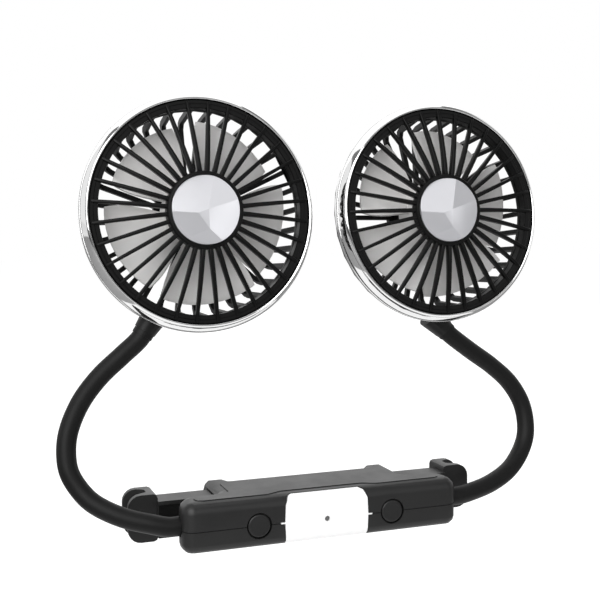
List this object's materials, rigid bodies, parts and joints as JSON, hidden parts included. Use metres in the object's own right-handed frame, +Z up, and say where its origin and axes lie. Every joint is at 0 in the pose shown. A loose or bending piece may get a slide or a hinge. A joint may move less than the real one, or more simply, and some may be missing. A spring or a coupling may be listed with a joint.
{
  "type": "headrest twin usb fan",
  "caption": "Twin round fans on bendable necks, rising from a control box whose sprung clips grip the two posts of a car headrest.",
  "frame": {"origin": "midway between the two post channels, on the line through the seats that press on the posts, at the control box mid-height", "axes": "+X to the right seen from the front, -Y the way the fans blow, +Z up along the posts"},
  "size_m": [0.248, 0.0595, 0.2068],
  "materials": {
    "housing": "dark satin, fine grain",
    "panel": "polished white",
    "lens": "smoked diffuser",
    "board": "solder mask",
    "component": "moulded",
    "rubber": "smooth black sleeve",
    "button": "dark satin",
    "anchor": "moulded nylon",
    "steel": "zinc plated",
    "bright_steel": "drawn",
    "collar": "dark satin",
    "bezel": "chromed plastic",
    "grille": "semi-gloss black",
    "shell": "fine matte black",
    "cap": "pearl, faceted",
    "blade": "light warm grey"
  },
  "bodies": {
    "box": {"housing_top": "housing", "housing_bottom": "housing", "centre_panel": "panel", "indicator_lens": "lens", "circuit_board": "board", "cable_gland": "rubber", "housing_screw_1": "steel", "housing_screw_2": "steel", "housing_screw_3": "steel", "housing_screw_4": "steel", "left_tact_switch": "component", "left_neck_anchor": "anchor", "left_arm_spring": "steel", "left_neck_sleeve_1": "rubber", "left_neck_core_1": "bright_steel", "right_tact_switch": "component", "right_neck_anchor": "anchor", "right_arm_spring": "steel", "right_neck_sleeve_1": "rubber", "right_neck_core_1": "bright_steel"},
    "left_button": {"left_button": "button"},
    "left_arm": {"left_clip_arm": "housing"},
    "left_neck_lower": {"left_neck_sleeve_2": "rubber", "left_neck_core_2": "bright_steel"},
    "left_neck_upper": {"left_neck_sleeve_3": "rubber", "left_neck_core_3": "bright_steel"},
    "left_head": {"left_neck_sleeve_4": "rubber", "left_neck_core_4": "bright_steel", "left_neck_collar": "collar", "left_front_ring": "bezel", "left_front_grille": "grille", "left_hub_cap": "cap", "left_rear_guard": "shell", "left_motor": "steel", "left_head_screw_1": "steel", "left_head_screw_2": "steel", "left_head_screw_3": "steel"},
    "left_rotor": {"left_impeller": "blade", "left_motor_shaft": "bright_steel"},
    "right_button": {"right_button": "button"},
    "right_arm": {"right_clip_arm": "housing"},
    "right_neck_lower": {"right_neck_sleeve_2": "rubber", "right_neck_core_2": "bright_steel"},
    "right_neck_upper": {"right_neck_sleeve_3": "rubber", "right_neck_core_3": "bright_steel"},
    "right_head": {"right_neck_sleeve_4": "rubber", "right_neck_core_4": "bright_steel", "right_neck_collar": "collar", "right_front_ring": "bezel", "right_front_grille": "grille", "right_hub_cap": "cap", "right_rear_guard": "shell", "right_motor": "steel", "right_head_screw_1": "steel", "right_head_screw_2": "steel", "right_head_screw_3": "steel"},
    "right_rotor": {"right_impeller": "blade", "right_motor_shaft": "bright_steel"}
  },
  "joints": [
    {"name": "left_button_press", "type": "slide", "parent": "box", "child": "left_button", "axis": [0, 1, 0], "range_m": [0, 0.0006], "stiffness_N_per_m": 400, "springref_m": -0.001},
    {"name": "left_arm_slide", "type": "slide", "parent": "box", "child": "left_arm", "axis": [1, 0, 0], "range_m": [0, 0.01], "stiffness_N_per_m": 400, "springref_m": -0.005, "deforming": ["left_arm_spring"]},
    {"name": "left_neck_low_bend", "type": "hinge", "parent": "box", "child": "left_neck_lower", "pos_m": [-0.10014, -0.01603, 0.00858], "axis": [0, 1, 0], "range_deg": [-30, 5]},
    {"name": "left_neck_lean", "type": "hinge", "parent": "left_neck_lower", "child": "left_neck_upper", "pos_m": [-0.11434, -0.00719, 0.02656], "axis": [1, 0, 0], "range_deg": [-30, 30]},
    {"name": "left_head_aim", "type": "hinge", "parent": "left_neck_upper", "child": "left_head", "pos_m": [-0.08953, -0.00302, 0.07467], "axis": [0.8189, 0, -0.5739], "range_deg": [-30, 30]},
    {"name": "left_impeller_spin", "type": "hinge", "parent": "left_head", "child": "left_rotor", "pos_m": [-0.05225, -0.0148, 0.14126], "axis": [0, 0.9934, -0.1149], "continuous": true},
    {"name": "right_button_press", "type": "slide", "parent": "box", "child": "right_button", "axis": [0, 1, 0], "range_m": [0, 0.0006], "stiffness_N_per_m": 400, "springref_m": -0.001},
    {"name": "right_arm_slide", "type": "slide", "parent": "box", "child": "right_arm", "axis": [-1, 0, 0], "range_m": [0, 0.01], "stiffness_N_per_m": 400, "springref_m": -0.005, "deforming": ["right_arm_spring"]},
    {"name": "right_neck_low_bend", "type": "hinge", "parent": "box", "child": "right_neck_lower", "pos_m": [0.10474, -0.01512, 0.00559], "axis": [0, 1, 0], "range_deg": [-5, 30]},
    {"name": "right_neck_lean", "type": "hinge", "parent": "right_neck_lower", "child": "right_neck_upper", "pos_m": [0.12306, -0.00623, 0.02254], "axis": [1, 0, 0], "range_deg": [-30, 30]},
    {"name": "right_head_aim", "type": "hinge", "parent": "right_neck_upper", "child": "right_head", "pos_m": [0.09126, -0.00027, 0.0702], "axis": [0.6691, 0, 0.7431], "range_deg": [-30, 30]},
    {"name": "right_impeller_spin", "type": "hinge", "parent": "right_head", "child": "right_rotor", "pos_m": [0.07265, -0.00954, 0.14067], "axis": [0, 0.9934, -0.1149], "continuous": true}
  ]
}
